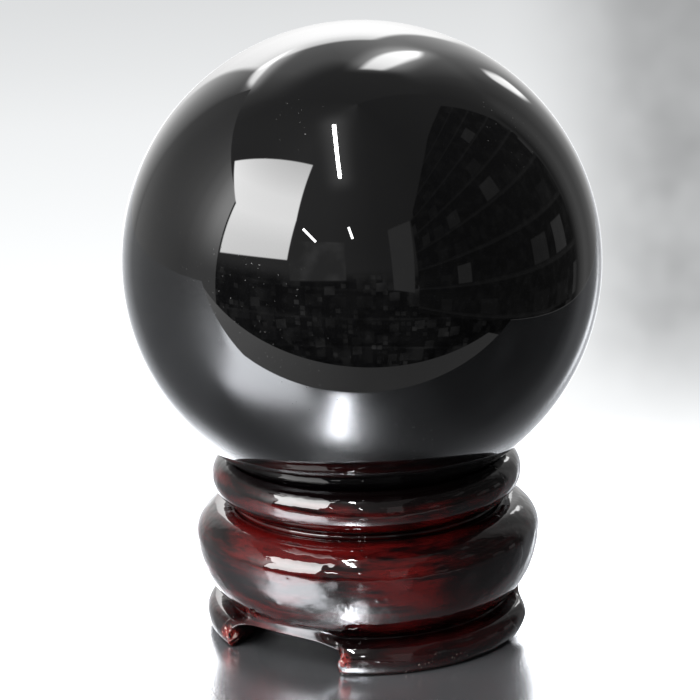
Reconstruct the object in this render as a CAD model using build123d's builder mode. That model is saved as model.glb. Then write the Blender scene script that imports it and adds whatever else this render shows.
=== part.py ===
"""A polished black crystal ball on a turned and lacquered wooden stand.

The origin is on the table, on the stand's axis.  +Z is up, and -Y is the
front, where one of the three feet stands.  All lengths are in millimetres,
and all angles in degrees, counted from +X towards +Y.
"""
import os
from math import radians, sin, sqrt

from build123d import *

# ---- the ball -------------------------------------------------------------
ball_diameter = 100.0
ball_radius = ball_diameter / 2
ball_centre_height = 78.5

# ---- the seat: a turned dish that touches the ball only at its lip --------
lip_radius = 29.5
seat_clearance = 0.02
dish_gap_at_axis = 1.2

# ---- the collar, a fat round bead under the lip ---------------------------
collar_radius = 33.0
collar_height = 33.6
collar_underside_radius = 28.3
collar_underside_height = 28.9

# ---- the neck: a fine bead between two grooves ----------------------------
neck_radius = 27.9
neck_bead_radius = 28.8
neck_bead_height = 27.7
neck_bead_half_height = 0.7
neck_foot_height = 26.6

# ---- the belly: a low shoulder, the widest part, and a long lower curve ---
belly_radius = 36.7
belly_height = 21.15
belly_centre_radius = 19.85
shoulder_rise = 8.6
shoulder_angle = 40.0
shoulder_crest_radius = 30.4
shoulder_crest_height = 27.3
lower_belly_drop = 18.4
waist_angle = 52.5

# ---- the foot ring --------------------------------------------------------
foot_radius = 35.1
foot_height = 3.3
foot_top_height = 6.4
foot_top_radius = 32.3
foot_bottom_angle = 60.0

# ---- the underside: a turned recess that three arches open at the sides ---
recess_radius = 27.0
recess_depth = 9.0
arch_count = 3
arch_width = 25.5
arch_height = 7.0
arch_corner_round = 2.8
first_arch_angle = -126.0
arch_reach = 1.5 * foot_radius

# ---- places that follow from the sizes above ------------------------------
lip_height = ball_centre_height - sqrt(ball_radius**2 - lip_radius**2) - seat_clearance
dish_bottom_height = ball_centre_height - ball_radius - dish_gap_at_axis
belly_half_width = belly_radius - belly_centre_radius
foot_half_width = foot_radius - foot_top_radius


def height_on_dish(radius):
    """Height of the dish at a radius; its arc runs from the axis to the lip."""
    rise = lip_height - dish_bottom_height
    dish_radius = (lip_radius**2 + rise**2) / (2 * rise)
    return dish_bottom_height + dish_radius - sqrt(dish_radius**2 - radius**2)


# ---- the ball: one solid polished sphere ----------------------------------
with BuildPart() as crystal_ball:
    with Locations((0, 0, ball_centre_height)):
        Sphere(radius=ball_radius)
crystal_ball.part.label = "crystal_ball"


# ---- the stand: turned in one piece, then carved into three feet ----------
with BuildPart() as stand:
    with BuildSketch(Plane.XZ):
        with BuildLine():
            axis_line = Line((0, 0), (0, dish_bottom_height))
            dish = ThreePointArc(
                axis_line @ 1,
                (lip_radius / 2, height_on_dish(lip_radius / 2)),
                (lip_radius, lip_height),
            )
            collar_widest = (collar_radius, collar_height)
            TangentArc(collar_widest, dish @ 1, tangent=(0, 1))
            collar_under = TangentArc(
                collar_widest,
                (collar_underside_radius, collar_underside_height),
                tangent=(0, -1),
            )
            upper_groove = Line(
                collar_under @ 1,
                (neck_radius, neck_bead_height + neck_bead_half_height),
            )
            neck_bead = ThreePointArc(
                upper_groove @ 1,
                (neck_bead_radius, neck_bead_height),
                (neck_radius, neck_bead_height - neck_bead_half_height),
            )
            lower_groove = Line(neck_bead @ 1, (neck_radius, neck_foot_height))
            belly_shoulder = EllipticalCenterArc(
                (belly_centre_radius, belly_height),
                belly_half_width,
                shoulder_rise,
                start_angle=0,
                arc_size=shoulder_angle,
            )
            ThreePointArc(
                lower_groove @ 1,
                (shoulder_crest_radius, shoulder_crest_height),
                belly_shoulder @ 1,
            )
            lower_belly = EllipticalCenterArc(
                (belly_centre_radius, belly_height),
                belly_half_width,
                lower_belly_drop,
                start_angle=-waist_angle,
                arc_size=waist_angle,
            )
            Line(lower_belly @ 0, (foot_top_radius, foot_top_height))
            EllipticalCenterArc(
                (foot_top_radius, foot_height),
                foot_half_width,
                foot_top_height - foot_height,
                start_angle=0,
                arc_size=90,
            )
            lower_foot = EllipticalCenterArc(
                (foot_top_radius, foot_height),
                foot_half_width,
                foot_height / sin(radians(foot_bottom_angle)),
                start_angle=-foot_bottom_angle,
                arc_size=foot_bottom_angle,
            )
            Line(lower_foot @ 0, axis_line @ 0)
        make_face()
    revolve(axis=Axis.Z)

    # the recess under the stand
    with BuildSketch(Plane.XY):
        Circle(recess_radius)
    extrude(amount=recess_depth, mode=Mode.SUBTRACT)

    # the three arches between the feet
    for arch_number in range(arch_count):
        arch_angle = first_arch_angle + arch_number * 360 / arch_count
        arch_plane = Plane.YZ.rotated((0, 0, arch_angle))
        with BuildSketch(arch_plane) as arch_outline:
            Rectangle(arch_width, 2 * arch_height)
            fillet(arch_outline.vertices(), arch_corner_round)
        extrude(amount=arch_reach, mode=Mode.SUBTRACT)
stand.part.label = "stand"


os.makedirs("parts", exist_ok=True)
export_step(crystal_ball.part, "parts/crystal_ball.step")
export_step(stand.part, "parts/stand.step")
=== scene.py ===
"""Looks for a polished black crystal ball on a turned and lacquered wooden stand.

Everything is in metres in the CAD frame: +Z is up, -Y is the front, and the
origin is on the table, on the stand's axis.  Turns round the stand are in
degrees, counted from the front (-Y) towards +X.  Profile sizes are in
millimetres, because that is how the CAD part gives them.
"""
import math
from functools import partialmethod

import bmesh
import bpy
import numpy as np
from mathutils import Matrix, Vector


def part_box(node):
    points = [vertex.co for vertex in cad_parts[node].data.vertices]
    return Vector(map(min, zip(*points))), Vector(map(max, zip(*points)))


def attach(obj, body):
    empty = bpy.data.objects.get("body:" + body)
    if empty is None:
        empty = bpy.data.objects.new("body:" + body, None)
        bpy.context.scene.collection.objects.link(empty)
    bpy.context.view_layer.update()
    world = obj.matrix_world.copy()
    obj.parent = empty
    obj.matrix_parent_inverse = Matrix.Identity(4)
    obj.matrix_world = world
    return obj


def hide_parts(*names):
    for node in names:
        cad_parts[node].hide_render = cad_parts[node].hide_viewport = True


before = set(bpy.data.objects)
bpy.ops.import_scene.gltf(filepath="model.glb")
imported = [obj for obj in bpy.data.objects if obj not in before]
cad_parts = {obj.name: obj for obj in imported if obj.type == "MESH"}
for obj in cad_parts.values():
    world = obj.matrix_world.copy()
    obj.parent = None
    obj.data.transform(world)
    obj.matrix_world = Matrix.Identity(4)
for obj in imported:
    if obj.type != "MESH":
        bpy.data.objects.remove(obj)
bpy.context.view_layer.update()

MM = 0.001

# ---- places taken from the frame ----
ball_low, ball_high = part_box("crystal_ball")
BALL_RADIUS = (ball_high.z - ball_low.z) / 2
BALL_CENTRE = Vector((0, 0, (ball_high.z + ball_low.z) / 2))
stand_low, stand_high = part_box("stand")
TABLE_HEIGHT = stand_low.z

# ---- the stand's profile, in mm ----
LIP = (29.5, stand_high.z / MM)
LIP_ROUND, LIP_REACH = 0.35, 1.6
DISH_BOTTOM = 27.3
COLLAR_RADIUS, COLLAR_HEIGHT = 33.0, 33.6
COLLAR_UNDER = (28.3, 28.9)
NECK_RADIUS = 27.9
NECK_BEAD = (28.8, 27.7, 0.7)
NECK_FOOT = 26.6
BELLY_CENTRE = (19.85, 21.15)
BELLY_HALF_WIDTH = stand_high.x / MM - BELLY_CENTRE[0]
SHOULDER_RISE, SHOULDER_ANGLE = 8.6, 40.0
SHOULDER_CREST = (30.4, 27.3)
LOWER_DROP, WAIST_ANGLE = 18.4, 52.5
SPLIT_ANGLE = 34.0
FOOT_TOP = (32.3, 6.4)
FOOT_RADIUS, FOOT_HEIGHT = 35.1, 3.3
FOOT_BOTTOM_ANGLE = 60.0
RECESS_RADIUS, RECESS_DEPTH = 27.0, 9.0

# ---- the three arches ----
ARCH_TURNS = (-35.3, 84.4, 204.4)
ARCH_HALF_WIDTH = 13.5
ARCH_TOP = 6.75
ARCH_SAG, ARCH_SAG_POWER = 1.8, 2.6
ARCH_CORNER = 0.35
ARCH_END_HEIGHT = 3.9
ARCH_END_DROP = 0.85
# how each arch begins at the leaning right end of a foot, in mm: the height where it starts,
# the length of its slope, and where the foot ring begins and ends its fade into the apron
ARCH_STARTS = ((1.2, 3.2, 0.0, 8.0), (0.4, 17.0, 5.0, 17.0), (1.2, 3.0, 0.0, 8.0))
RING_END_FADE = 1.8
APRON_RADIUS, APRON_HEIGHT, APRON_COVE = 32.45, 2.2, 0.16
FOOT_END_ROUND = 0.9
# a foot's end is cut back where it joins the arch, between these heights, and bulges lower down;
# both die away along the foot
FOOT_END_TUCK, TUCK_GROWS, TUCK_FADES = 1.2, (2.5, 4.9), (7.8, 5.0)
FOOT_END_BULGE, BULGE_HEIGHT, BULGE_SPREAD = 0.35, 2.6, 1.4
FOOT_END_REACH = 3.4
# radii in mm: the edges round the arches, the groove over the foot ring, and what the apron's
# crease has beyond that; and the radius at which an arch's width is measured
EDGE_ROUND, GROOVE_ROUND, CREASE_ROUND = 0.32, 0.22, 0.7
COLUMN_RADIUS = 33.0
HALF_TURN = math.degrees(math.asin(ARCH_HALF_WIDTH / COLUMN_RADIUS))
TURN_PER_MM = math.degrees(1 / COLUMN_RADIUS)

# ---- the mesh ----
DISH_ROWS, LIP_ROWS, UPPER_ROWS = 26, 20, 250
OUTER_ROWS, SIDE_ROWS, EDGE_ROWS, UNDER_ROWS, WALL_ROWS, CEILING_ROWS = 60, 16, 8, 14, 7, 12
# a row on the outside of the stand, which tells whether the normals point outwards
OUTSIDE_ROW = 60
# columns crowd together at these distances in mm from a foot's end, and are even from EVEN_FROM on
NEAR_END = (0.05, 0.12, 0.2, 0.3, 0.42, 0.56, 0.72, 0.92, 1.15, 1.4, 1.7, 2.05, 2.45, 2.9)
EVEN_FROM, ARCH_COLUMNS, FOOT_COLUMNS, END_WALL_COLUMNS = 3.3, 66, 120, 7
WELD = 1e-7


# ---- small tools ----
def smooth(x, low=0.0, high=1.0):
    """0 below low, 1 above high, and a smooth S between them."""
    t = np.clip((np.asarray(x, float) - low) / (high - low), 0, 1)
    return t * t * (3 - 2 * t)


def arc_between(start, end, count=40):
    """Points on the arc from start, where it runs vertically, to end."""
    across, rise = end[0] - start[0], end[1] - start[1]
    radius = (across**2 + rise**2) / (2 * abs(across))
    centre = start[0] + math.copysign(radius, across)
    first = math.atan2(0.0, start[0] - centre)
    last = math.atan2(rise, end[0] - centre)
    if last - first > math.pi:
        last -= 2 * math.pi
    if first - last > math.pi:
        last += 2 * math.pi
    angle = np.linspace(first, last, count)
    return np.stack([centre + radius * np.cos(angle), start[1] + radius * np.sin(angle)], 1)


def arc_through(start, middle, end, count=24):
    """Points on the circle through three points."""
    a, b, c = (np.array(p, float) for p in (start, middle, end))
    matrix = 2 * np.array([b - a, c - a])
    centre = np.linalg.solve(matrix, [b @ b - a @ a, c @ c - a @ a])
    radius = np.linalg.norm(a - centre)
    angles = [math.atan2(p[1] - centre[1], p[0] - centre[0]) for p in (a, b, c)]
    for i in (1, 2):
        while angles[i] - angles[i - 1] > math.pi:
            angles[i] -= 2 * math.pi
        while angles[i] - angles[i - 1] < -math.pi:
            angles[i] += 2 * math.pi
    angle = np.linspace(angles[0], angles[2], count)
    return centre + radius * np.stack([np.cos(angle), np.sin(angle)], 1)


def ellipse(centre, half_width, half_height, first, last, count=40):
    angle = np.radians(np.linspace(first, last, count))
    return np.stack([centre[0] + half_width * np.cos(angle), centre[1] + half_height * np.sin(angle)], 1)


def resample(points, count, crowd=None):
    """The same line with count points, evenly spaced unless crowd bends their spacing."""
    step = np.hypot(*np.diff(points, axis=0).T)
    along = np.concatenate([[0], np.cumsum(step)])
    where = np.linspace(0, 1, count)
    if crowd is not None:
        where = crowd(where)
    where = where * along[-1]
    return np.stack([np.interp(where, along, points[:, k]) for k in (0, 1)], 1)


def round_corners(points, radius, passes=2):
    """Softens the corners of a dense line by averaging over about the given radius."""
    step = np.hypot(*np.diff(points, axis=0).T).mean()
    reach = max(1, int(round(radius / step)))
    kernel = np.ones(2 * reach + 1) / (2 * reach + 1)
    for _ in range(passes):
        padded = np.concatenate(
            [np.repeat(points[:1], reach, 0), points, np.repeat(points[-1:], reach, 0)]
        )
        inner = np.stack([np.convolve(padded[:, k], kernel, "valid") for k in (0, 1)], 1)
        inner[0], inner[-1] = points[0], points[-1]
        points = inner
    return points


def mesh_object(name, points, faces):
    mesh = bpy.data.meshes.new(name)
    mesh.from_pydata([tuple(p) for p in points], [], faces)
    mesh.polygons.foreach_set("use_smooth", [True] * len(mesh.polygons))
    mesh.update()
    obj = bpy.data.objects.new(name, mesh)
    bpy.context.scene.collection.objects.link(obj)
    return obj


# ---- the stand ----
def dish_line():
    rise = LIP[1] - DISH_BOTTOM
    radius = (LIP[0] ** 2 + rise**2) / (2 * rise)
    r = np.linspace(0, LIP[0], 60)
    return np.stack([r, DISH_BOTTOM + radius - np.sqrt(radius**2 - r**2)], 1)


def upper_line():
    """From the lip over the collar, the neck and the belly to the place where the columns part."""
    collar_top = arc_between((COLLAR_RADIUS, COLLAR_HEIGHT), LIP)[::-1]
    collar_under = arc_between((COLLAR_RADIUS, COLLAR_HEIGHT), COLLAR_UNDER)
    bead_r, bead_z, bead_half = NECK_BEAD
    bead = arc_through(
        (NECK_RADIUS, bead_z + bead_half), (bead_r, bead_z), (NECK_RADIUS, bead_z - bead_half)
    )
    shoulder_end = ellipse(BELLY_CENTRE, BELLY_HALF_WIDTH, SHOULDER_RISE, SHOULDER_ANGLE, 0)
    shoulder = arc_through((NECK_RADIUS, NECK_FOOT), SHOULDER_CREST, tuple(shoulder_end[0]))
    belly = ellipse(BELLY_CENTRE, BELLY_HALF_WIDTH, LOWER_DROP, 0, -SPLIT_ANGLE)
    return np.concatenate([collar_top, collar_under, bead, shoulder, shoulder_end, belly])


def joined(*sections):
    """Sections of (line, number of points), resampled and joined end to end."""
    lines = [resample(line, count + 1)[1:] for line, count in sections]
    return np.concatenate([sections[0][0][:1]] + lines)


SECTION_POINTS = (150, 150, 110)


def ring_outline():
    """From the split on the belly over the foot ring to its bottom edge."""
    belly = ellipse(BELLY_CENTRE, BELLY_HALF_WIDTH, LOWER_DROP, -SPLIT_ANGLE, -WAIST_ANGLE)
    width = FOOT_RADIUS - FOOT_TOP[0]
    upper = ellipse((FOOT_TOP[0], FOOT_HEIGHT), width, FOOT_TOP[1] - FOOT_HEIGHT, 90, 0)
    low = FOOT_HEIGHT / math.sin(math.radians(FOOT_BOTTOM_ANGLE))
    lower = ellipse((FOOT_TOP[0], FOOT_HEIGHT), width, low, 0, -FOOT_BOTTOM_ANGLE)
    sections = (belly, np.concatenate([belly[-1:], upper]), lower)
    return joined(*zip(sections, SECTION_POINTS))


RING_OUTLINE = ring_outline()


def apron_outline(height):
    """The same, where an arch's apron falls almost straight from a crease in the belly."""
    crease = max(height, ARCH_END_HEIGHT) + APRON_HEIGHT
    crease_angle = math.degrees(math.asin((BELLY_CENTRE[1] - crease) / LOWER_DROP))
    belly = ellipse(BELLY_CENTRE, BELLY_HALF_WIDTH, LOWER_DROP, -SPLIT_ANGLE, -crease_angle)
    fall = np.linspace(crease - 0.35, FOOT_HEIGHT, 60)
    cove = APRON_COVE * np.sin(np.pi * np.clip((fall - height) / APRON_HEIGHT, 0, 1))
    apron = np.stack([APRON_RADIUS - cove, fall], 1)
    rest = np.linspace(apron[-1], (APRON_RADIUS, 0.0), 20)
    return joined(*zip((belly, np.concatenate([belly[-1:], apron]), rest), SECTION_POINTS))


def lower_outline(height, ring_share):
    """A blend of ring and apron over an arch, cut off at the arch's height."""
    line = RING_OUTLINE * ring_share + apron_outline(height) * (1 - ring_share)
    line = round_corners(line, GROOVE_ROUND + CREASE_ROUND * (1 - ring_share))
    last = np.argmax(line[:, 1] < height)
    share = (line[last - 1, 1] - height) / (line[last - 1, 1] - line[last, 1])
    cut = line[last - 1] + share * (line[last] - line[last - 1])
    return np.concatenate([line[:last], [cut]])


def bend_edge(outer, height, count):
    """Rounds the corner between the end of an outer line and a flat underside."""
    length = np.hypot(*np.diff(outer, axis=0).T)
    left = np.append(length[::-1].cumsum()[::-1], 0.0)
    keep = left > EDGE_ROUND
    start, corner = outer[keep][-1], outer[-1]
    inner = np.array([corner[0] - EDGE_ROUND, height])
    t = np.linspace(0, 1, count)[:, None]
    curve = (1 - t) ** 2 * start + 2 * t * (1 - t) * corner + t**2 * inner
    return outer[keep], curve


def arch_column(height, ring_share):
    """One column over an arch: outside, edge, flat underside, and the rest of the recess wall."""
    kept, edge = bend_edge(lower_outline(height, ring_share), height, EDGE_ROWS)
    inner = (RECESS_RADIUS, height)
    under_count = SIDE_ROWS + UNDER_ROWS + WALL_ROWS
    under = np.linspace(edge[-1], inner, under_count + 1)[1:]
    wall = np.linspace(inner, (RECESS_RADIUS, RECESS_DEPTH), WALL_ROWS + 1)[1:]
    return np.concatenate([resample(kept, OUTER_ROWS), edge, under, wall])


def foot_column(cut, wall_distance):
    """One column through a foot, with points at the height cut where the next arch begins."""
    left = 1 - min(wall_distance / FOOT_END_ROUND, 1.0)
    inset = FOOT_END_ROUND * min(cut / ARCH_END_HEIGHT, 1.0) * (1 - math.sqrt(1 - left**2))
    line = round_corners(RING_OUTLINE, GROOVE_ROUND)
    along = np.gradient(line, axis=0)
    normal = np.stack([-along[:, 1], along[:, 0]], 1)
    normal /= np.linalg.norm(normal, axis=1)[:, None]
    line = line - normal * inset * smooth(line[:, 1], cut + 0.2, cut - 1.6)[:, None]
    line[:, 1] = np.maximum(line[:, 1], inset * 0.8)
    at_cut = np.argmax(line[:, 1] < cut + EDGE_ROUND)
    kept, edge = bend_edge(line[at_cut:], line[-1, 1], EDGE_ROWS)
    bottom = line[-1, 1]
    side = resample(np.concatenate([kept, edge[:1]]), SIDE_ROWS)
    under = np.linspace(edge[-1], (RECESS_RADIUS, bottom), UNDER_ROWS + 1)[1:]
    inner = np.linspace((RECESS_RADIUS, bottom), (RECESS_RADIUS, cut), WALL_ROWS + 1)[1:]
    wall = np.linspace((RECESS_RADIUS, cut), (RECESS_RADIUS, RECESS_DEPTH), WALL_ROWS + 1)[1:]
    return np.concatenate([resample(line[: at_cut + 1], OUTER_ROWS), side, edge, under, inner, wall])


def arch_height(number, from_start, from_end):
    """Height of an arch at distances in mm from its two ends."""
    first, slope = ARCH_STARTS[number][:2]
    half = (from_start + from_end) / 2
    height = ARCH_TOP - ARCH_SAG * abs((from_start - half) / half) ** ARCH_SAG_POWER
    height -= ARCH_END_DROP * (1 - smooth(from_end, 0.0, 5.5))
    rise = math.sin(math.pi / 2 * min(from_start / slope, 1.0))
    near = min(from_end / ARCH_CORNER, 1.0)
    drop = (height - ARCH_END_HEIGHT) * (1 - math.sqrt(1 - (1 - near) ** 2)) if near < 1 else 0.0
    return first + (height - first) * rise - drop


def arch_place(number, from_start, from_end):
    fade_from, fade_to = ARCH_STARTS[number][2:]
    ring = max(1 - smooth(from_start, fade_from, fade_to), 1 - smooth(from_end, 0.0, RING_END_FADE))
    return arch_column(arch_height(number, from_start, from_end), float(ring))


def column_places(width, count):
    """Distances along an arch or a foot, with count of them spaced evenly in its middle."""
    near = np.array(NEAR_END)
    even = np.linspace(EVEN_FROM, width - EVEN_FROM, count)
    return np.concatenate([[0], near, even, width - near[::-1], [width]])


def stand_columns():
    """(turn, distance in mm to the nearest foot end, height of that end, column), in order."""
    width = 2 * HALF_TURN / TURN_PER_MM
    foot_width = (120 - 2 * HALF_TURN) / TURN_PER_MM
    shares = np.linspace(0, 1, END_WALL_COLUMNS + 2)[1:-1]
    columns = []
    for number, middle in enumerate(ARCH_TURNS):
        start_turn, end_turn = middle - HALF_TURN, middle + HALF_TURN
        for along in column_places(width, ARCH_COLUMNS):
            column = arch_place(number, along, width - along)
            end = arch_height(number, 0.0, width) if along < width / 2 else arch_height(number, width, 0.0)
            columns.append((start_turn + along * TURN_PER_MM, min(along, width - along), end, column))
        following = (number + 1) % len(ARCH_TURNS)
        first_cut, last_cut = arch_height(number, width, 0.0), arch_height(following, 0.0, width)
        before, after = columns[-1][3], arch_place(following, 0.0, width)
        foot = []
        for along in column_places(foot_width, FOOT_COLUMNS):
            cut = first_cut + (last_cut - first_cut) * along / foot_width
            distance = min(along, foot_width - along)
            foot.append((end_turn + along * TURN_PER_MM, distance, cut, foot_column(cut, distance)))
        for share in shares:
            columns.append((foot[0][0], 0.0, first_cut, before * (1 - share) + foot[0][3] * share))
        columns += foot
        for share in shares[::-1]:
            columns.append((foot[-1][0], 0.0, last_cut, after * (1 - share) + foot[-1][3] * share))
    return columns


def turn_for_radius(turn, radius, height):
    """Keeps an arch's end walls parallel: the turn of a point depends on its radius."""
    middle = ARCH_TURNS[0] + 120 * np.round((turn - ARCH_TURNS[0]) / 120)
    offset = turn - middle
    near = np.clip(radius, 1.0, COLUMN_RADIUS)
    at_radius = np.degrees(np.arcsin(np.clip(ARCH_HALF_WIDTH / near, 0, 0.6)))
    inner = offset * at_radius / HALF_TURN
    outer = np.sign(offset) * (60 - (60 - np.abs(offset)) * (60 - at_radius) / (60 - HALF_TURN))
    warped = np.where(np.abs(offset) <= HALF_TURN, inner, outer)
    weight = smooth(height, RECESS_DEPTH + 0.5, 7.0) * smooth(radius, 20.0, 26.5)
    in_recess = (radius < RECESS_RADIUS + 0.01) * (height < RECESS_DEPTH + 0.5)
    weight = np.maximum(weight, smooth(radius, 12.0, 26.0) * in_recess)
    from_wall = (np.abs(offset) - HALF_TURN) / TURN_PER_MM
    tuck = FOOT_END_TUCK * smooth(height, *TUCK_GROWS) * smooth(height, *TUCK_FADES)
    bulge = FOOT_END_BULGE * np.exp(-(((height - BULGE_HEIGHT) / BULGE_SPREAD) ** 2))
    tuck = (tuck - bulge) * np.exp(-((from_wall / FOOT_END_REACH) ** 2))
    tucked = np.sign(offset) * TURN_PER_MM * tuck
    return middle + offset * (1 - weight) + warped * weight + tucked


def periodic_noise(turn, along, turn_cells, along_cell, seed):
    """Smooth noise round the stand: turn in degrees repeats after 360, along is in mm."""
    rng = np.random.default_rng(seed)
    rows = int(140 / along_cell) + 4
    grid = rng.uniform(-1, 1, (turn_cells, rows))
    u = (np.mod(turn, 360) / 360) * turn_cells
    v = along / along_cell + 1
    i, j = np.floor(u).astype(int), np.floor(v).astype(int)
    fu, fv = u - i, v - j

    def cubic(p0, p1, p2, p3, t):
        bend = 2 * p0 - 5 * p1 + 4 * p2 - p3 + t * (3 * (p1 - p2) + p3 - p0)
        return p1 + 0.5 * t * (p2 - p0 + t * bend)

    rows_out = []
    for dj in (-1, 0, 1, 2):
        jj = np.clip(j + dj, 0, rows - 1)
        rows_out.append(cubic(*[grid[(i + di) % turn_cells, jj] for di in (-1, 0, 1, 2)], fu))
    return cubic(*rows_out, fv)


# waves in the lacquer: height in mm, number round the stand, length down it in mm, seed
LACQUER_WAVES = ((0.038, 46, 3.6, 11), (0.022, 110, 1.5, 12), (0.008, 260, 0.7, 13))
# beads of lacquer on the belly: turn, height, half width in degrees, half height and swell in mm
LACQUER_BEADS = (
    (-26.5, 20.6, 0.9, 0.5, 0.10),
    (-31.3, 14.6, 0.8, 0.6, 0.09),
    (-7.8, 15.9, 0.7, 1.1, 0.11),
    (-13.2, 17.9, 1.3, 0.4, 0.06),
    (2.8, 17.2, 0.7, 0.4, 0.09),
    (5.8, 17.5, 0.6, 0.4, 0.09),
    (48.0, 19.0, 1.0, 0.6, 0.07),
    (123.0, 16.5, 0.8, 0.8, 0.09),
    (171.0, 19.5, 1.1, 0.5, 0.08),
    (228.0, 17.0, 0.8, 0.9, 0.09),
)


def lacquer_relief(turn, along, height, radius):
    """How far the lacquer stands out, in mm: brushed runs, slow waves and a few beads."""
    relief = sum(swell * periodic_noise(turn, along, *wave) for swell, *wave in LACQUER_WAVES)
    for bead_turn, bead_height, half_turn, half_height, swell in LACQUER_BEADS:
        away = np.mod(turn - bead_turn + 180, 360) - 180
        reach = (away / half_turn) ** 2 + ((height - bead_height) / half_height) ** 2
        relief += swell * np.exp(-reach) * (radius > BELLY_CENTRE[0] + 10)
    fade = smooth(radius, RECESS_RADIUS - 1.0, RECESS_RADIUS + 0.8)
    return relief * (0.25 + 0.75 * fade)


def turned_rows():
    """The turned part of the profile, from near the axis over the lip to the split on the belly."""
    dish = resample(dish_line(), DISH_ROWS, lambda t: 1 - (1 - t) ** 1.25)
    upper = round_corners(resample(upper_line(), 900), 0.10)
    top = np.concatenate([dish[:-1], upper])
    near_lip = np.hypot(top[:, 0] - LIP[0], top[:, 1] - LIP[1]) < LIP_REACH
    lip_line = resample(top[near_lip], 90)
    lip_line = resample(round_corners(lip_line, LIP_ROUND), LIP_ROWS)
    start = np.argmax(near_lip)
    end = len(near_lip) - np.argmax(near_lip[::-1])
    upper_rest = resample(np.concatenate([lip_line[-1:], top[end:]]), UPPER_ROWS)
    return np.concatenate([top[:start], lip_line, upper_rest[1:]])[1:]


def faces_round(count, rows):
    """Faces between neighbouring columns, and round the two points on the axis, which come last."""
    faces, top = [], count * rows
    for i in range(count):
        a, b = i * rows, (i + 1) % count * rows
        faces.append((top, a, b))
        faces.extend((a + j, a + j + 1, b + j + 1, b + j) for j in range(rows - 1))
        faces.append((a + rows - 1, top + 1, b + rows - 1))
    return faces


def build_stand():
    """The whole stand: the turned rows and the carved columns, with the lacquer's relief."""
    fixed, columns = turned_rows(), stand_columns()
    ceiling = np.linspace((RECESS_RADIUS, RECESS_DEPTH), (0.0, RECESS_DEPTH), CEILING_ROWS + 2)[1:-1]
    profile = np.array([np.concatenate([fixed, column[1:], ceiling]) for _, _, _, column in columns])
    turns = np.array([c[0] for c in columns])
    count, rows = profile.shape[:2]
    radius, height = profile[:, :, 0], profile[:, :, 1]
    turn = turn_for_radius(turns[:, None] + 0 * radius, radius, height)
    step = np.hypot(np.diff(radius, axis=1), np.diff(height, axis=1))
    along = np.concatenate([np.zeros((count, 1)), np.cumsum(step, 1)], 1)
    angle = np.radians(turn)
    points = np.stack([radius * np.sin(angle), -radius * np.cos(angle), height], 2)
    du = np.roll(points, -1, 0) - np.roll(points, 1, 0)
    around = np.stack([np.cos(angle), np.sin(angle), 0 * angle], 2)
    end_height = np.array([c[2] for c in columns])[:, None]
    is_low = (np.arange(rows) >= len(fixed))[None, :]
    is_end = is_low & ((height < end_height + 0.3) | (radius < RECESS_RADIUS + 0.5))
    du = np.where(is_end[:, :, None], du, around)
    dv = np.gradient(points, axis=1)
    normal = np.cross(du, dv)
    size = np.linalg.norm(normal, axis=2, keepdims=True)
    normal = normal / np.maximum(size, 1e-9)
    relief = lacquer_relief(turn, along, height, radius)
    wall = np.array([c[1] for c in columns])[:, None]
    calm = np.maximum(smooth(wall, 0.0, 1.2), smooth(height, end_height + 0.4, end_height + 1.6))
    calm = np.where(radius < RECESS_RADIUS + 0.5, smooth(wall, 0.0, 1.2), calm)
    relief = np.where(is_low, relief * calm, relief)
    sign = np.sign((normal[:, OUTSIDE_ROW] * points[:, OUTSIDE_ROW]).sum(-1).mean())
    points = points + sign * normal * relief[:, :, None]
    points[:, :, 2] = np.maximum(points[:, :, 2], 0.0)
    on_axis = [[0, 0, DISH_BOTTOM], [0, 0, RECESS_DEPTH]]
    points = np.concatenate([points.reshape(-1, 3), on_axis]) * MM
    stand = mesh_object("turned_stand", points, faces_round(count, rows))
    bm = bmesh.new()
    bm.from_mesh(stand.data)
    bmesh.ops.remove_doubles(bm, verts=bm.verts, dist=WELD)
    bmesh.ops.dissolve_degenerate(bm, edges=bm.edges, dist=WELD)
    bmesh.ops.recalc_face_normals(bm, faces=bm.faces)
    bm.to_mesh(stand.data)
    bm.free()
    return stand


# ---- the ball ----
def build_ball():
    """A dense ball of six curved squares, so that no poles show in the mirror polish."""
    bm = bmesh.new()
    cells = 88
    for axis in range(3):
        for side in (-1, 1):
            grid = []
            for i in range(cells + 1):
                row = []
                for j in range(cells + 1):
                    a = math.tan((i / cells - 0.5) * math.pi / 2)
                    b = math.tan((j / cells - 0.5) * math.pi / 2)
                    p = [0.0, 0.0, 0.0]
                    p[axis], p[(axis + 1) % 3], p[(axis + 2) % 3] = side, a * side, b
                    row.append(bm.verts.new(Vector(p).normalized() * BALL_RADIUS + BALL_CENTRE))
                grid.append(row)
            for i in range(cells):
                for j in range(cells):
                    bm.faces.new((grid[i][j], grid[i + 1][j], grid[i + 1][j + 1], grid[i][j + 1]))
    bmesh.ops.remove_doubles(bm, verts=bm.verts, dist=WELD)
    bmesh.ops.recalc_face_normals(bm, faces=bm.faces)
    mesh = bpy.data.meshes.new("polished_ball")
    bm.to_mesh(mesh)
    bm.free()
    mesh.polygons.foreach_set("use_smooth", [True] * len(mesh.polygons))
    obj = bpy.data.objects.new("polished_ball", mesh)
    bpy.context.scene.collection.objects.link(obj)
    return obj


# ---- shader sums ----
def fill(slots, *values):
    """Sets each slot to a plain number or feeds it from a Value."""
    for slot, value in zip(slots, values):
        if isinstance(value, Value):
            value.into(slot)
        else:
            slot.default_value = value


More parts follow.
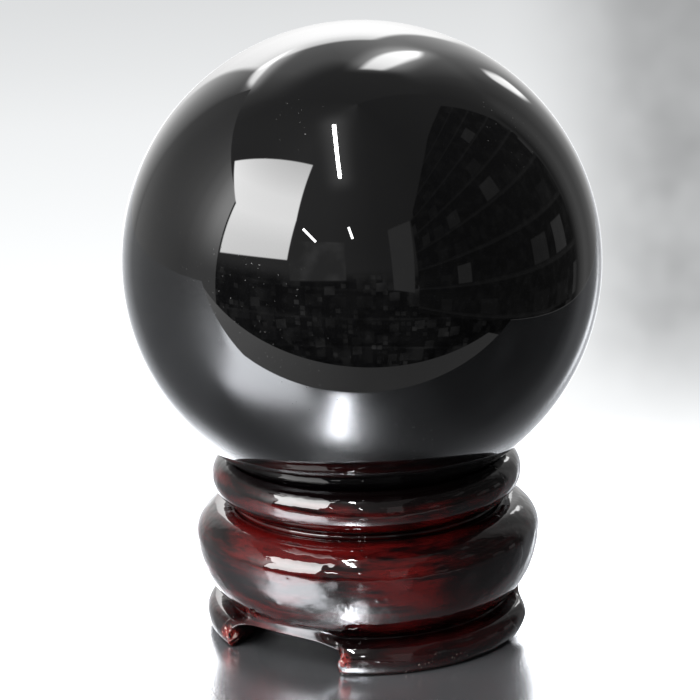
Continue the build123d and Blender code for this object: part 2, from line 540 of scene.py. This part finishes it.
class Value:
    """A number that varies over a surface, so that shader sums can be written as plain sums."""

    def __init__(self, tree, socket):
        self.tree, self.socket = tree, socket

    def into(self, slot):
        """Feeds the number to a node's slot."""
        self.tree.links.new(self.socket, slot)

    def math(self, operation, *others):
        node = self.tree.nodes.new("ShaderNodeMath")
        node.operation = operation
        fill(node.inputs, self, *others)
        return Value(self.tree, node.outputs[0])

    def constant(self, number):
        node = self.tree.nodes.new("ShaderNodeValue")
        node.outputs[0].default_value = number
        return Value(self.tree, node.outputs[0])

    __add__ = __radd__ = partialmethod(math, "ADD")
    __mul__ = __rmul__ = partialmethod(math, "MULTIPLY")
    __sub__ = partialmethod(math, "SUBTRACT")
    __truediv__ = partialmethod(math, "DIVIDE")
    __pow__ = partialmethod(math, "POWER")
    least = partialmethod(math, "MINIMUM")
    most = partialmethod(math, "MAXIMUM")

    def __rsub__(self, other):
        return self.constant(other) - self

    def towards(self, other, share):
        """This where share is 0, other where it is 1."""
        return self * (1.0 - share) + other * share

    def step(self, low, high, first=0.0, last=1.0):
        """A smooth step from first at low to last at high."""
        node = self.tree.nodes.new("ShaderNodeMapRange")
        node.interpolation_type = "SMOOTHSTEP"
        if not isinstance(low, Value) and low > high:
            low, high, first, last = high, low, last, first
        fill(node.inputs, self, low, high, first, last)
        return Value(self.tree, node.outputs[0])

    def curve(self, points, low, high):
        """A line through (position, value) points; positions lie between low and high."""
        top = max(v for _, v in points)
        node = self.tree.nodes.new("ShaderNodeValToRGB")
        ramp = node.color_ramp
        ramp.interpolation = "LINEAR"
        while len(ramp.elements) < len(points):
            ramp.elements.new(0.5)
        for element, (position, _) in zip(ramp.elements, points):
            element.position = (position - low) / (high - low)
        for element, (_, value) in zip(ramp.elements, points):
            element.color = (value / top, value / top, value / top, 1)
        ((self - low) * (1 / (high - low))).into(node.inputs[0])
        grey = self.tree.nodes.new("ShaderNodeSeparateColor")
        self.tree.links.new(node.outputs[0], grey.inputs[0])
        return Value(self.tree, grey.outputs[0]) * top


def noise(tree, vector, scale, detail=2.0, roughness=0.5, distortion=0.0):
    node = tree.nodes.new("ShaderNodeTexNoise")
    node.inputs["Scale"].default_value = scale
    node.inputs["Detail"].default_value = detail
    node.inputs["Roughness"].default_value = roughness
    node.inputs["Distortion"].default_value = distortion
    tree.links.new(vector, node.inputs["Vector"])
    return Value(tree, node.outputs["Fac"])


def components(tree, vector):
    """The x, y and z of a vector."""
    split = tree.nodes.new("ShaderNodeSeparateXYZ")
    tree.links.new(vector, split.inputs[0])
    return [Value(tree, socket) for socket in split.outputs]


def object_place(tree):
    return tree.nodes.new("ShaderNodeTexCoord").outputs["Object"]


def surface_noise(tree, scale, *look, turn=(0, 0, 0)):
    """Noise over the object, squeezed by a scale along each axis; look is as for noise."""
    mapping = tree.nodes.new("ShaderNodeMapping")
    mapping.inputs["Scale"].default_value = scale
    mapping.inputs["Rotation"].default_value = turn
    tree.links.new(object_place(tree), mapping.inputs["Vector"])
    return noise(tree, mapping.outputs["Vector"], 1.0, *look)


def mixed_colour(tree, share, first, second):
    """first where share is 0, second where it is 1; each is a colour or a socket."""
    node = tree.nodes.new("ShaderNodeMix")
    node.data_type = "RGBA"
    share.into(node.inputs["Factor"])
    for slot, colour in ((node.inputs[6], first), (node.inputs[7], second)):
        if isinstance(colour, bpy.types.NodeSocket):
            tree.links.new(colour, slot)
        else:
            slot.default_value = (*colour, 1)
    return node.outputs[2]


def new_material(name):
    material = bpy.data.materials.new(name)
    material.use_nodes = True
    tree = material.node_tree
    return material, tree, tree.nodes["Principled BSDF"]


def bump(tree, height, strength, distance):
    node = tree.nodes.new("ShaderNodeBump")
    node.inputs["Strength"].default_value = strength
    node.inputs["Distance"].default_value = distance
    height.into(node.inputs["Height"])
    return node.outputs["Normal"]


def blended(share, first, second):
    """The shader first where share is 0, and second where it is 1."""
    tree = share.tree
    node = tree.nodes.new("ShaderNodeMixShader")
    share.into(node.inputs[0])
    tree.links.new(first, node.inputs[1])
    tree.links.new(second, node.inputs[2])
    return node.outputs[0]


def camera_ray(tree):
    """1 where the camera itself looks, 0 where a reflection does."""
    return Value(tree, tree.nodes.new("ShaderNodeLightPath").outputs["Is Camera Ray"])


def glow(tree, strength):
    node = tree.nodes.new("ShaderNodeEmission")
    strength.into(node.inputs["Strength"])
    return node.outputs[0]


# ---- materials ----
def near_foot_end(tree, turn, height, reach):
    """1 at a point low on the outside of a foot, fading to 0 at a distance of reach mm."""
    a, radius = math.radians(turn), FOOT_RADIUS - 0.6
    node = tree.nodes.new("ShaderNodeVectorMath")
    node.operation = "DISTANCE"
    tree.links.new(object_place(tree), node.inputs[0])
    node.inputs[1].default_value = (radius * math.sin(a) * MM, -radius * math.cos(a) * MM, height * MM)
    return Value(tree, node.outputs["Value"]).step(reach * MM, 0.4 * reach * MM)


# colours of the wood, with a painted highlight for two foot ends, and of the crystal with its dust
DARK_STAIN, RED_STAIN = (0.0016, 0.0006, 0.0007), (0.0155, 0.0009, 0.0011)
BRIGHT_STAIN, BLACK_PORES = (0.042, 0.0019, 0.0018), (0.0012, 0.0005, 0.0006)
PALE_FLECKS, RED_CHIPS, PAINTED_END_HIGHLIGHT = (0.18, 0.15, 0.13), (0.11, 0.010, 0.008), (0.34, 0.27, 0.24)
BARE_WOOD = (0.006, 0.0035, 0.0030)
CRYSTAL_COLOURS, DUST = ((0.0006, 0.0006, 0.0007), (0.0016, 0.0016, 0.0017)), (0.05, 0.05, 0.048)


def lacquered_wood():
    """Dark red stain in streaks round the turning, almost black, under a thick glossy coat.
    The top of the collar is painted black as shade and the dark reflection of the ball above it;
    the low foot and blotches gathered on the right, away from the window, are painted dark as shade;
    and the recess underneath is bare."""
    material, tree, shader = new_material("lacquered_wood")
    streak = surface_noise(tree, (60, 60, 420), 4.0, 0.62, 0.6)
    fine = surface_noise(tree, (170, 170, 1500), 3.0, 0.6, 0.2)
    cloud = surface_noise(tree, (38, 38, 70), 2.0, 0.5)
    pores = surface_noise(tree, (420, 420, 2600), 2.0, 0.6)
    x, y, z = components(tree, object_place(tree))
    # blotches of dark stain, gathered on the right away from the window as painted shade
    dark_blotches_and_side_shade = surface_noise(tree, (24, 24, 55), 2.0, 0.5, turn=(0.0, 0.0, 0.6))
    dark_blotches_and_side_shade = (dark_blotches_and_side_shade + x * 4.0).step(0.50, 0.66)
    # the low foot is painted dark, more on the right away from the window: painted shade
    foot = z.step(0.0076, 0.0058) * (x * 7.0 + 0.72).least(0.94)
    # the collar's top, starting lower on the right, is painted black as the ball's shade and dark
    # reflection; the blotches and the low foot join it
    black = (z + x * 0.035).step(0.0350, 0.0362).most(dark_blotches_and_side_shade * 0.85).most(foot)
    red = (streak * 0.55 + fine * 0.25 + cloud * 0.45 - 0.10).step(0.40, 0.70) * (1.0 - black)
    deep = mixed_colour(tree, red, DARK_STAIN, RED_STAIN)
    bright = (streak * cloud * 2.2 + fine * 0.3).step(0.58, 0.95) * (1.0 - black)
    colour = mixed_colour(tree, bright, deep, BRIGHT_STAIN)
    dark_lines = pores.step(0.30, 0.42, 0.55, 1.0) * fine.step(0.32, 0.45, 0.5, 1.0)
    colour = mixed_colour(tree, dark_lines, BLACK_PORES, colour)
    flecks = surface_noise(tree, (2200, 2200, 2200), 0.0)
    rubbed = surface_noise(tree, (70, 70, 90), 1.0)
    chipped = flecks.step(0.76, 0.80) * z.step(0.0045, 0.0008) * rubbed.step(0.50, 0.60)
    colour = mixed_colour(tree, chipped, colour, PALE_FLECKS)
    # round the two foot ends that face the camera: bright red chips show the wood's red, and pale pinkish
    # marks are painted highlights on the rounded ends
    worn_and_lit_ends = near_foot_end(tree, ARCH_TURNS[0] - HALF_TURN, 2.6, 3.1)
    worn_and_lit_ends = worn_and_lit_ends.most(near_foot_end(tree, ARCH_TURNS[0] + HALF_TURN, 3.0, 3.5))
    chip_and_glint_noise = surface_noise(tree, (750, 750, 750), 2.0, 0.6)
    colour = mixed_colour(tree, worn_and_lit_ends * chip_and_glint_noise.step(0.42, 0.52), colour, RED_CHIPS)
    colour = mixed_colour(tree, worn_and_lit_ends * chip_and_glint_noise.step(0.59, 0.67), colour, PAINTED_END_HIGHLIGHT)
    inside = (x * x + y * y).math("SQRT").step(0.0276, 0.0270) * z.step(0.0098, 0.0094)
    colour = mixed_colour(tree, inside, colour, BARE_WOOD)
    tree.links.new(colour, shader.inputs["Base Color"])
    (0.42 + cloud * 0.25 + inside * 0.2).into(shader.inputs["Roughness"])
    shader.inputs["Specular IOR Level"].default_value = 0.0
    (1.0 - inside).into(shader.inputs["Coat Weight"])
    shader.inputs["Coat IOR"].default_value = 1.52
    worn = surface_noise(tree, (90, 90, 160), 3.0, 0.6)
    worn.step(0.45, 0.8, 0.025, 0.06).into(shader.inputs["Coat Roughness"])
    skin = surface_noise(tree, (500, 500, 1100), 2.0, 0.5)
    runs = surface_noise(tree, (160, 160, 650), 2.0, 0.5)
    tree.links.new(bump(tree, runs * 0.7 + skin * 0.3, 0.25, 0.00014), shader.inputs["Coat Normal"])
    tree.links.new(bump(tree, fine * 0.6 + pores * 0.4, 0.3, 0.0002), shader.inputs["Normal"])
    return material


def black_crystal():
    """Opaque black crystal with a mirror polish, a little dust and a few hairline scratches."""
    material, tree, shader = new_material("black_crystal")
    depth = surface_noise(tree, (20, 20, 20), 3.0, 0.6)
    colour = mixed_colour(tree, depth.step(0.3, 0.7), *CRYSTAL_COLOURS)
    dust = surface_noise(tree, (2600, 2600, 2600), 0.0)
    where = surface_noise(tree, (33, 33, 33), 1.0, turn=(0.4, 0.2, 0.9))
    speck = dust.step(0.82, 0.85) * where.step(0.55, 0.66)
    colour = mixed_colour(tree, speck, colour, DUST)
    tree.links.new(colour, shader.inputs["Base Color"])
    haze = surface_noise(tree, (55, 55, 55), 3.0, 0.6)
    (haze.step(0.4, 0.75, 0.010, 0.028) + speck * 0.4).into(shader.inputs["Roughness"])
    shader.inputs["IOR"].default_value = 1.5
    scratch = surface_noise(tree, (30, 900, 900), 1.0, turn=(0.5, 0.3, 0.8))
    line = scratch.step(0.73, 0.75) * where.step(0.5, 0.7)
    tree.links.new(bump(tree, line + speck, 0.03, 0.00002), shader.inputs["Normal"])
    return material


# ---- the studio ----
def toward(azimuth, elevation):
    """Unit direction; azimuth 0 is the front (-Y) and 90 is +X."""
    a, e = math.radians(azimuth), math.radians(elevation)
    return Vector((math.sin(a) * math.cos(e), -math.cos(a) * math.cos(e), math.sin(e)))


def turn_from_back(tree, direction):
    """Degrees round from the back (+Y) towards +X."""
    x, y, _ = components(tree, direction)
    return x.math("ARCTAN2", y) * (180 / math.pi)


def dot(tree, direction, fixed):
    node = tree.nodes.new("ShaderNodeVectorMath")
    node.operation = "DOT_PRODUCT"
    tree.links.new(direction, node.inputs[0])
    node.inputs[1].default_value = fixed
    return Value(tree, node.outputs["Value"])


def facet(tree, direction, corners, softness):
    """1 inside a flat window seen from the ball, given its corners as (azimuth, elevation)."""
    rays = [toward(*c) for c in corners]
    middle = sum(rays, Vector()).normalized()
    inside = None
    for ray, following in zip(rays, rays[1:] + rays[:1]):
        edge = ray.cross(following).normalized()
        if edge.dot(middle) < 0:
            edge = -edge
        side = dot(tree, direction, edge).step(-softness, softness)
        inside = side if inside is None else inside * side
    return inside


def tube(tree, direction, first, last, width, softness=0.25):
    """1 along a straight lamp tube between two directions; width and softness in degrees."""
    a, b = toward(*first), toward(*last)
    along = (b - a).normalized()
    middle, half = (a + b).normalized(), (b - a).length / 2
    off_line = dot(tree, direction, a.cross(b).normalized()).math("ABSOLUTE")
    off_end = dot(tree, direction, along).math("ABSOLUTE")
    sideways = off_line.step(math.sin(math.radians(width + softness)), math.sin(math.radians(width)))
    lengthways = off_end.step(half + math.radians(softness), half)
    return sideways * lengthways * dot(tree, direction, middle).step(0.0, 0.05)


def chance(tree, column, row):
    """A random number from 0 to 1 for each whole column and row."""
    place = tree.nodes.new("ShaderNodeCombineXYZ")
    fill(place.inputs, column, row)
    node = tree.nodes.new("ShaderNodeTexWhiteNoise")
    node.noise_dimensions = "2D"
    tree.links.new(place.outputs[0], node.inputs["Vector"])
    return Value(tree, node.outputs["Value"])


def boxes(tree, across, up, rarity, level):
    """Paler things of random size, one to a cell, each standing on the floor of its cell."""
    draw = chance(tree, across.math("FLOOR"), up.math("FLOOR"))
    place, rise = across.math("FRACT"), up.math("FRACT")
    sides = place.step(0.08, 0.12) * (draw * 0.5 + 0.42 - place).step(-0.02, 0.02)
    top = (draw * 0.6 + 0.25 - rise).step(-0.02, 0.02)
    return draw**rarity * level * sides * top


# the direction of the shelves, and how many columns and rows fill a span equal to their distance
SHELVES_AZIMUTH, SHELVES_ACROSS, SHELVES_UP = 85, 3.4, 3.6


def shelves(tree, direction, height):
    """A dark wall of shelves on the right, with a few paler things standing on them."""
    ahead = dot(tree, direction, toward(SHELVES_AZIMUTH, 0)).most(0.05)
    across = dot(tree, direction, toward(SHELVES_AZIMUTH + 90, 0)) / ahead * SHELVES_ACROSS
    up = height / ahead * SHELVES_UP + 0.2
    draw = chance(tree, across.math("FLOOR"), up.math("FLOOR"))
    place, rise = across.math("FRACT"), up.math("FRACT")
    item = draw**4 * 0.22 * place.step(0.12, 0.16) * place.step(0.80, 0.74)
    item = item * rise.step(0.06, 0.10) * (draw * 0.5 + 0.2 - rise).step(-0.02, 0.02)
    board = rise.step(0.10, 0.02) * 0.05 + rise.step(0.94, 0.99) * 0.06
    grime = noise(tree, direction, 14.0, 3.0, 0.6).step(0.4, 0.8, 0.0, 0.05)
    return item + board + grime + 0.055


# levels round the wall as (azimuth, level), and corners as (azimuth, elevation)
WALL_LEVELS = (
    (-180, 0.25), (-110, 0.26), (-75, 0.33), (-45, 0.43), (-15, 0.38), (8, 0.25), (40, 0.21), (180, 0.21),
)
WALL_END = ((-34, 20), (-8, 21), (-7, 4), (-33, 3))
DOORWAY = ((13.5, 26), (25.5, 29), (24, -3), (14.5, -1))
SHELF_WALL = ((26, -12), (26, 32), (43, 49.5), (56, 57.5), (75, 61.5), (109, 60), (118, 38), (121, -14))


def dim_room(tree, direction, azimuth, elevation, height):
    """The unlit room in front of the object: a wall over a band of clutter, a doorway and shelves."""
    wall = azimuth.curve(WALL_LEVELS, -180, 180)
    blocks = noise(tree, direction, 5.0, 2.0, 0.5)
    grime = noise(tree, direction, 7.0, 3.0, 0.55).step(0.3, 0.7, 0.45, 1.35)
    large = boxes(tree, azimuth * 0.085 + 0.3, elevation * 0.12 + azimuth * 0.004, 2.0, 0.14)
    middling = boxes(tree, azimuth * 0.17, elevation * 0.21 - azimuth * 0.011 + 0.4, 5.0, 0.22)
    small = boxes(tree, azimuth * 0.37 + 0.6, elevation * 0.43 + azimuth * 0.03, 9.0, 0.30)
    edges = (elevation * 0.075 + azimuth * 0.003).math("FRACT").step(0.90, 0.95, 0.0, 0.05)
    clutter = (large.most(middling).most(small) + edges + 0.06) * grime
    clutter = clutter * azimuth.step(20, 60, 1.0, 0.5)
    room = clutter.towards(wall, elevation.step(2.0, 9.0))
    wall_end = facet(tree, direction, WALL_END, 0.008)
    room = room.towards(0.40 + blocks.step(0.4, 0.7, 0.0, 0.35), wall_end)
    room = room.towards(blocks * 0.1 + 0.42, facet(tree, direction, DOORWAY, 0.006))
    return room.towards(shelves(tree, direction, height), facet(tree, direction, SHELF_WALL, 0.006))


# the window's corners, and its levels as (elevation, level)
UPPER_PANE = ((-87.7, 40.9), (-35, 55), (-33.5, 29), (-70, 29))
LOWER_PANE = ((-70, 30), (-33.5, 30), (-35, 11.8), (-70, 9.4))
SKY_LEVELS = ((5, 13.0), (18, 14.6), (28, 17.4), (38, 17.0), (46, 14.0), (60, 9.8))
# lamp tubes: first end, last end, half width in degrees, level
LONG_TUBE = ((-40.8, 76), (-13.1, 50.9), 0.5, 330.0)
SHORT_TUBES = (((-29, 26), (-22, 21), 0.35, 70.0), ((-6, 28), (-4, 23), 0.35, 70.0))
HALO_WIDTH, HALO_LEVEL = 10.0, 0.6


def window_and_lamps(tree, direction, elevation, light):
    """A window in a wide upper and a narrow lower part, and three lamp tubes."""
    window = facet(tree, direction, UPPER_PANE, 0.006).most(facet(tree, direction, LOWER_PANE, 0.006))
    light = light.towards(elevation.curve(SKY_LEVELS, 5, 60), window)
    halo = tube(tree, direction, *LONG_TUBE[:3], HALO_WIDTH)
    light = light + halo**2 * HALO_LEVEL
    for first, last, width, level in (LONG_TUBE,) + SHORT_TUBES:
        light = light + tube(tree, direction, first, last, width) * level
    return light


# levels round the back, as (degrees from the back, level): on the screens and high above them
SCREEN_LEVELS = (
    (-72, 0.3), (-43.5, 0.38), (-40, 0.64), (-32, 0.98), (-24, 1.3), (-14, 1.35), (0, 1.2),
    (12, 1.1), (18, 1.05), (24, 0.72), (31, 0.55), (36, 0.36), (44, 0.28), (50, 0.38), (55, 0.28),
    (59, 0.12), (64, 0.08),
)
HIGH_LEVELS = (
    (-72, 0.25), (-60, 0.27), (-50, 0.44), (-40, 0.62), (-32, 0.8), (-8, 0.8), (0, 1.0), (10, 1.3),
    (20, 1.4), (26, 0.85), (32, 0.68), (40, 0.38), (48, 0.27), (60, 0.21), (64, 0.2),
)
CEILING_LEVEL = 0.26
# the brightest screen, at the back, which grows brighter upwards
REAR_SCREEN = (
    (-151, 39), (-158.5, 18), (-167, -6), (176, -6), (170, 8), (168.5, 18), (173.5, 36), (174.5, 39.5),
)
REAR_LEVELS = (
    (-10, 1.0), (0, 1.2), (10, 2.1), (20, 3.4), (25, 4.2), (30, 5.0), (34, 5.3), (38, 4.6), (45, 3.6),
)
# streaks of light in the folds over the screens: corners, softness, level
STREAKS = (
    (((-165, 36.5), (-151, 37), (-142.5, 40.5), (-137.5, 45.5), (-150, 42.2), (-160, 39.3)), 0.022, 5.5),
    (((-165, 37), (-148, 39), (-136, 44), (-136, 49), (-150, 46), (-164, 43)), 0.06, 2.0),
    (((177, 66.5), (161, 65.5), (157, 58), (157.5, 46), (161, 41), (164, 45), (170, 54)), 0.022, 8.0),
    (((-178, 66), (166, 67), (152, 62), (154, 48), (160, 40), (170, 46)), 0.07, 2.2),
    (((150, 27), (153.5, 26), (155.5, 18), (152.5, 14), (149, 18), (148.5, 25)), 0.024, 4.2),
)
# the screen on the left: its corners, and its levels high and low as (azimuth, level)
LEFT_SCREEN = ((-137, 44.9), (-71, 30.9), (-71, -14), (-137, -14))
LEFT_HIGH_LEVELS = (
    (-140, 0.36), (-124, 0.40), (-116, 0.48), (-108, 0.60), (-100, 0.79), (-92, 1.15), (-84, 2.1),
    (-76, 4.1), (-69, 5.0),
)
LEFT_LOW_LEVELS = ((-140, 0.60), (-116, 0.54), (-92, 0.57), (-84, 0.70), (-69, 0.85))


def pale_screens(tree, direction, azimuth, elevation, light):
    """The screens round the back and the left side, and the light that falls on them."""
    behind = turn_from_back(tree, direction)
    side = behind.curve(SCREEN_LEVELS, -75, 65)
    above = behind.curve(HIGH_LEVELS, -75, 65)
    fading = elevation.step(behind.step(-14, 0, 54.0, 59.5), 67.0)
    screens = side.towards(above, elevation.step(35, 42)).towards(CEILING_LEVEL, fading)
    light = light.towards(screens, behind.step(-73, -66) * behind.step(61.5, 58.5))
    rear = facet(tree, direction, REAR_SCREEN, 0.026)
    light = light.towards(elevation.curve(REAR_LEVELS, -10, 45), rear)
    for corners, softness, level in STREAKS:
        light = light + facet(tree, direction, corners, softness) * level
    high, low = azimuth.curve(LEFT_HIGH_LEVELS, -140, -69), azimuth.curve(LEFT_LOW_LEVELS, -140, -69)
    left = facet(tree, direction, LEFT_SCREEN, 0.004)
    return light.towards(low.towards(high, elevation.step(0, 27)), left)


WHITE, BACKDROP_TINT = (1.0, 1.0, 1.0), (0.975, 0.99, 1.0)
BACKDROP_LEVELS = (
    (-24, 1.1), (-13, 1.06), (-10.6, 0.97), (-8.5, 0.90), (-7, 0.82), (-5.4, 0.75), (0, 0.70), (20, 0.8),
)


def plain_backdrop(tree, direction, elevation):
    """What the camera sees: a pale screen out of focus, greyer far away and in a fold on the right."""
    level = elevation.curve(BACKDROP_LEVELS, -24, 20)
    right = turn_from_back(tree, direction)
    mottle = noise(tree, direction, 26.0, 2.0, 0.5)
    fold = right.step(3.6, 9.0) * right.step(20.0, 12.0) * elevation.step(-17.5, -13.5)
    shade = fold * mottle.step(0.3, 0.7, 0.47, 0.60)
    return level * (1.0 - shade)


def background(tree, light, colour):
    node = tree.nodes.new("ShaderNodeBackground")
    tint = tree.nodes.new("ShaderNodeCombineColor")
    fill(tint.inputs, *(light * share for share in colour))
    tree.links.new(tint.outputs[0], node.inputs["Color"])
    return node.outputs[0]


def studio_world():
    """The surroundings that the ball and the lacquer reflect, and a plain backdrop for the camera."""
    world = bpy.data.worlds.new("studio")
    bpy.context.scene.world = world
    world.use_nodes = True
    tree = world.node_tree
    tree.nodes.clear()
    direction = tree.nodes.new("ShaderNodeTexCoord").outputs["Generated"]
    x, y, z = components(tree, direction)
    azimuth = x.math("ARCTAN2", y * -1.0) * (180 / math.pi)
    elevation = z.math("ARCSINE") * (180 / math.pi)
    light = dim_room(tree, direction, azimuth, elevation, z)
    light = pale_screens(tree, direction, azimuth, elevation, light)
    light = window_and_lamps(tree, direction, elevation, light)
    studio = background(tree, light, WHITE)
    backdrop = background(tree, plain_backdrop(tree, direction, elevation), BACKDROP_TINT)
    out = tree.nodes.new("ShaderNodeOutputWorld")
    tree.links.new(blended(camera_ray(tree), studio, backdrop), out.inputs["Surface"])
    world.cycles.sampling_method = "MANUAL"
    world.cycles.sample_map_resolution = 1024


# the sheet that the object stands on: its front and right edges, and the pale strip in front of it
BOARD_RADIUS, BOARD_RINGS, BOARD_SIDES = 1.6, 40, 96
CARD_COLOURS = ((0.73, 0.76, 0.81), (0.81, 0.83, 0.865))
BOARD_FRONT, BOARD_BEND, BOARD_BEND_SLOPE = -0.100, -0.130, 0.167
STRIP_EDGE, STRIP_SLOPE, STRIP_END = -0.140, 0.10, 0.178
BOARD_RIGHT, BOARD_RIGHT_SLOPE, BOARD_RIM, EDGE_BLUR = 0.252, 0.17, 0.0022, 0.0005
STRIP_LEVELS = ((-0.40, 1.7), (-0.15, 1.3), (-0.06, 0.88), (0.0, 0.56), (0.04, 0.50), (0.18, 0.53))
RIM_LEVEL = 0.75
# the camera sees the sheet fade into the backdrop between these distances from the stand's axis
SEEN_FROM, SEEN_TO = 0.06, 0.17
# how pale the sheet is for cameras on other sides, and how much of that covers its mirror look
PALE_LEVEL, PALE_SHARE = 1.08, 0.78


def past_the_edges(tree, x, y, clear):
    """1 past the sheet's edges, and the shader there: a bright strip in front, a rim, or clear."""
    front = y - BOARD_FRONT - ((x - BOARD_BEND).least(0.0) * BOARD_BEND_SLOPE)
    before = front.step(EDGE_BLUR, -EDGE_BLUR)
    strip = before * (y - x * STRIP_SLOPE - STRIP_EDGE).step(-EDGE_BLUR, EDGE_BLUR)
    strip = strip * x.step(STRIP_END, STRIP_END - 0.004)
    right = x - y * BOARD_RIGHT_SLOPE - BOARD_RIGHT
    beside = right.step(-EDGE_BLUR, EDGE_BLUR)
    rim = beside * right.step(BOARD_RIM + EDGE_BLUR, BOARD_RIM - EDGE_BLUR) * (1.0 - before)
    light = glow(tree, x.curve(STRIP_LEVELS, -0.40, 0.18) * strip + rim * RIM_LEVEL)
    return before.most(beside), blended(strip.most(rim), clear, light)


def paler_elsewhere(tree, seen, card):
    """The card, paler for a camera that looks from another side or from high above.  The pale glow
    is darkened by ambient occlusion near the object: a painted contact shadow.
    """
    incoming = tree.nodes.new("ShaderNodeNewGeometry").outputs["Incoming"]
    x, y, z = components(tree, incoming)
    facing = y * -1.0 / (x * x + y * y).math("SQRT").most(0.01)
    elsewhere = facing.step(0.92, 0.62).most(z.step(0.40, 0.65))
    # ambient occlusion darkens the pale glow near the object: a painted contact shadow
    corners = tree.nodes.new("ShaderNodeAmbientOcclusion")
    corners.inputs["Distance"].default_value = 0.03
    pale = glow(tree, Value(tree, corners.outputs["AO"]) * PALE_LEVEL)
    return blended(elsewhere * seen * PALE_SHARE, card, pale)


def silver_board():
    """Brushed silvery card.  Seen in the ball it ends in front of the object, where the room begins;
    seen by the camera it fades into the backdrop.  Only a camera at the front sees the bright
    screens behind the object mirrored in the card, so the card is made paler for the others, with a
    painted contact shadow round the object."""
    material, tree, shader = new_material("silver_board")
    grain = surface_noise(tree, (1500, 1500, 1500), 2.0, 0.6)
    waves = surface_noise(tree, (14, 14, 14), 2.0, 0.5)
    tree.links.new(mixed_colour(tree, waves, *CARD_COLOURS), shader.inputs["Base Color"])
    shader.inputs["Metallic"].default_value = 0.97
    waves.step(0.3, 0.7, 0.19, 0.225).into(shader.inputs["Roughness"])
    tree.links.new(bump(tree, grain, 0.35, 0.0001), shader.inputs["Normal"])
    x, y, _ = components(tree, object_place(tree))
    seen = camera_ray(tree)
    clear = tree.nodes.new("ShaderNodeBsdfTransparent").outputs[0]
    past, beyond = past_the_edges(tree, x, y, clear)
    away = (x * x + y * y).math("SQRT").step(SEEN_FROM, SEEN_TO)
    gone = away * seen + past * (1.0 - seen)
    card = paler_elsewhere(tree, seen, shader.outputs[0])
    surface = blended(gone, card, blended(seen, beyond, clear))
    tree.links.new(surface, tree.nodes["Material Output"].inputs["Surface"])
    return material


def build_board():
    """The pale, silvery sheet that the object stands on."""
    rings, sides = BOARD_RINGS, BOARD_SIDES
    points, faces = [(0, 0, TABLE_HEIGHT)], []
    for i in range(1, rings + 1):
        r = BOARD_RADIUS * (i / rings) ** 1.6
        for j in range(sides):
            a = 2 * math.pi * j / sides
            points.append((r * math.cos(a), r * math.sin(a), TABLE_HEIGHT))
    for j in range(sides):
        faces.append((0, 1 + j, 1 + (j + 1) % sides))
    for i in range(rings - 1):
        for j in range(sides):
            a, b = 1 + i * sides + j, 1 + i * sides + (j + 1) % sides
            faces.append((a, a + sides, b + sides, b))
    board = mesh_object("silver_board", points, faces)
    board.data.materials.append(silver_board())


# ---- the camera ----
# elevation in degrees, roll in radians, sensor and lens in mm, and where the ball's centre is in
# the picture: shares of its width to the right of the middle and above it
CAMERA_DISTANCE = 9.0 * BALL_RADIUS
CAMERA_ELEVATION = 12.3
CAMERA_ROLL = -0.0243
SENSOR, LENS = 36.0, 110.7
BALL_RIGHT, BALL_UP = 0.0161, 0.1257


def build_camera():
    """Looks down at the ball, which sits a little right of the middle and well above it."""
    data = bpy.data.cameras.new("camera")
    data.sensor_width, data.lens = SENSOR, LENS
    camera = bpy.data.objects.new("camera", data)
    bpy.context.scene.collection.objects.link(camera)
    back = toward(0, CAMERA_ELEVATION)
    camera.location = BALL_CENTRE + back * CAMERA_DISTANCE
    level = (-back).to_track_quat("-Z", "Y").to_matrix()
    rolled = level @ Matrix.Rotation(CAMERA_ROLL, 3, "Z")
    picture_place = Vector((BALL_RIGHT * SENSOR, BALL_UP * SENSOR, -LENS))
    turn = picture_place.rotation_difference(Vector((0, 0, -1))).to_matrix()
    camera.rotation_mode = "QUATERNION"
    camera.rotation_quaternion = (rolled @ turn).to_quaternion()
    data.clip_start, data.clip_end = 0.01, 20
    bpy.context.scene.camera = camera


# ---- putting it together ----
stand = build_stand()
stand.data.materials.append(lacquered_wood())
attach(stand, "stand")
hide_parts("stand")

ball = build_ball()
ball.data.materials.append(black_crystal())
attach(ball, "ball")
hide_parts("crystal_ball")

build_board()
studio_world()
build_camera()
bpy.context.scene.view_settings.view_transform = "Standard"
bpy.context.scene.view_settings.look = "None"
